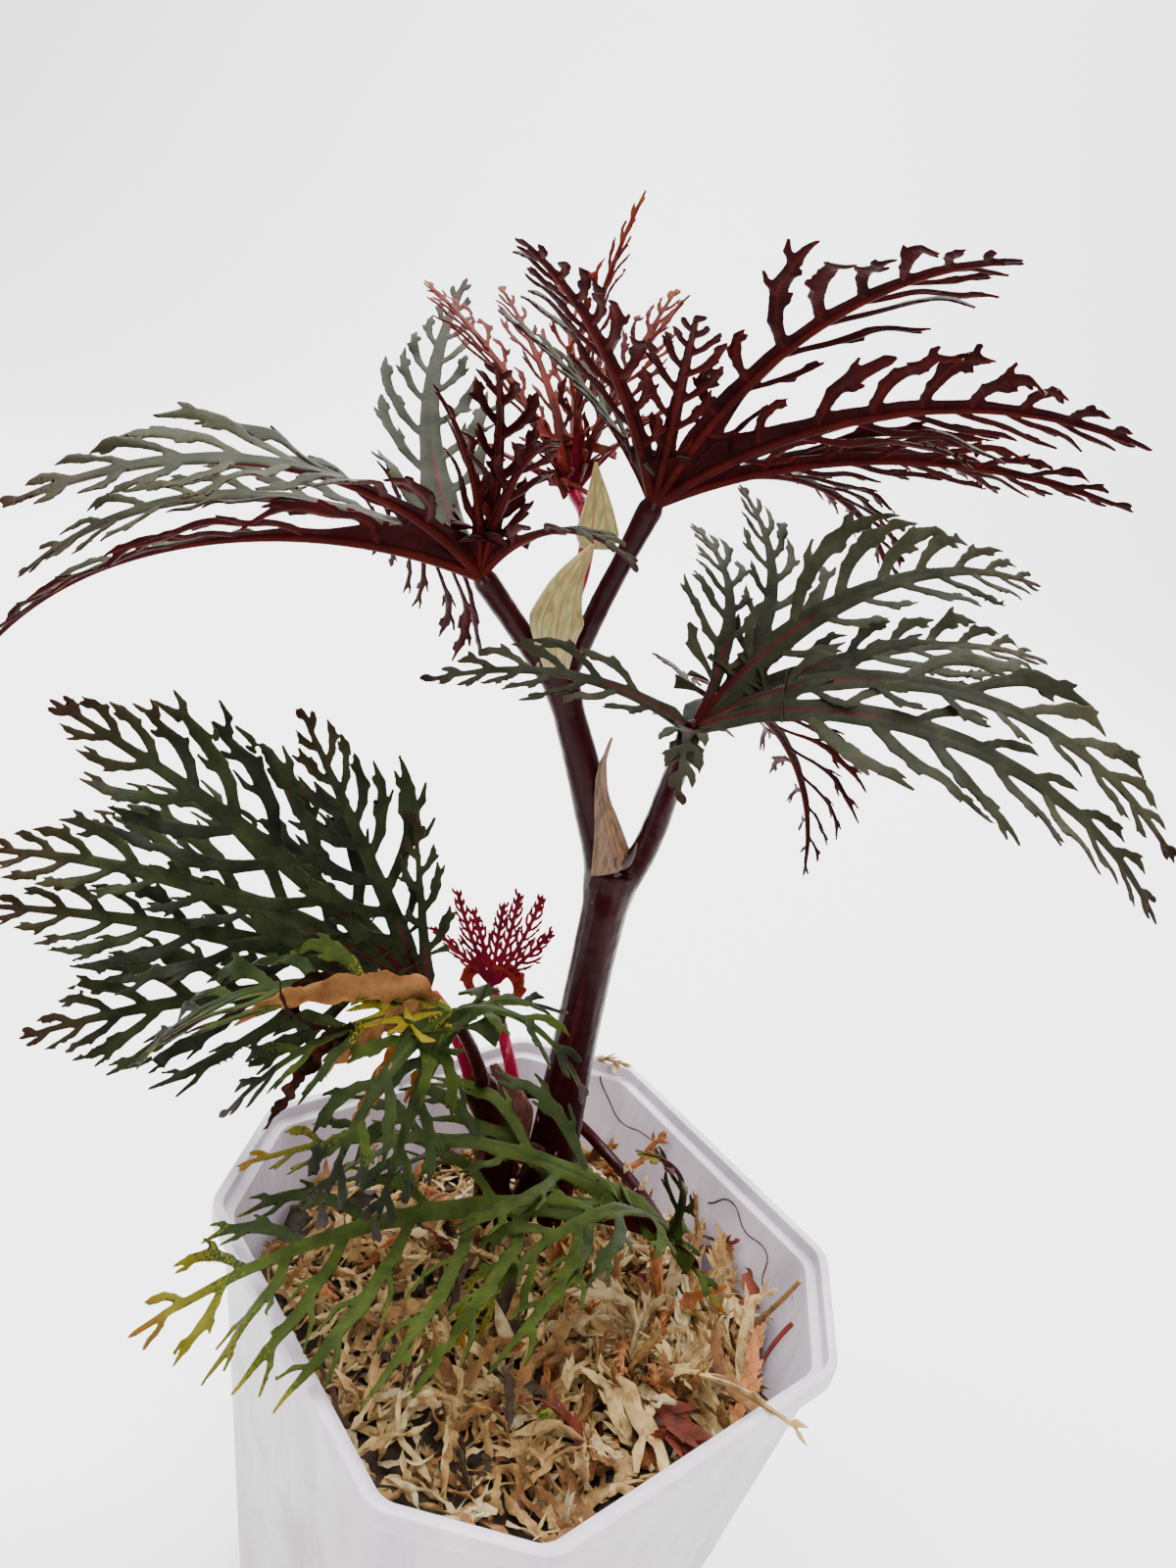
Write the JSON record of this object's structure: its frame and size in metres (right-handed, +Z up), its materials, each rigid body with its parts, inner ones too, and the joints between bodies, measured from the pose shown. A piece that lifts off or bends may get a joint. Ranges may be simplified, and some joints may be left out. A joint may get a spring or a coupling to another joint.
{
  "type": "potted fern-leaved begonia",
  "caption": "Young begonia with deeply cut, fern-like leaves on a forked maroon stem, standing in moss in a small eight-sided frosted plastic pot.",
  "frame": {"origin": "middle of the pot's flat underside", "axes": "+Z up along the pot, +X to the right and +Y to the back as the plant is seen from its front"},
  "size_m": [0.1301, 0.1013, 0.1892],
  "materials": {
    "frosted_plastic": "frosted, slightly translucent, scuffed",
    "moss": "matte, loose strands",
    "maroon_stem": "smooth, waxy",
    "crimson_stalk": "smooth, waxy",
    "straw_sheath": "thin, papery",
    "pink_sheath": "thin, papery",
    "dry_sheath": "dry, matte",
    "leaf_green": "satin, veined, red underneath",
    "leaf_red": "satin, young growth"
  },
  "bodies": {
    "root": {"pot": "frosted_plastic", "moss": "moss", "main_stem": "maroon_stem", "upper_stem": "maroon_stem", "lower_shoot": "maroon_stem", "stalk_right": "maroon_stem", "stalk_upper_left": "maroon_stem", "stalk_upper_right": "maroon_stem", "stalk_young": "crimson_stalk", "stalk_lower_left": "crimson_stalk", "stalk_drying": "maroon_stem", "stalk_lowest": "maroon_stem", "stalk_newest": "crimson_stalk", "bud_sheath": "straw_sheath", "tip_sheath": "straw_sheath", "foot_sheath": "pink_sheath", "fork_sheath": "dry_sheath", "leaf_upper_left": "leaf_green", "leaf_upper_right": "leaf_green", "leaf_young": "leaf_red", "leaf_right": "leaf_green", "leaf_lower_left": "leaf_green", "leaf_drying": "leaf_green", "leaf_lowest": "leaf_green", "leaf_newest": "leaf_red"}
  },
  "joints": []
}
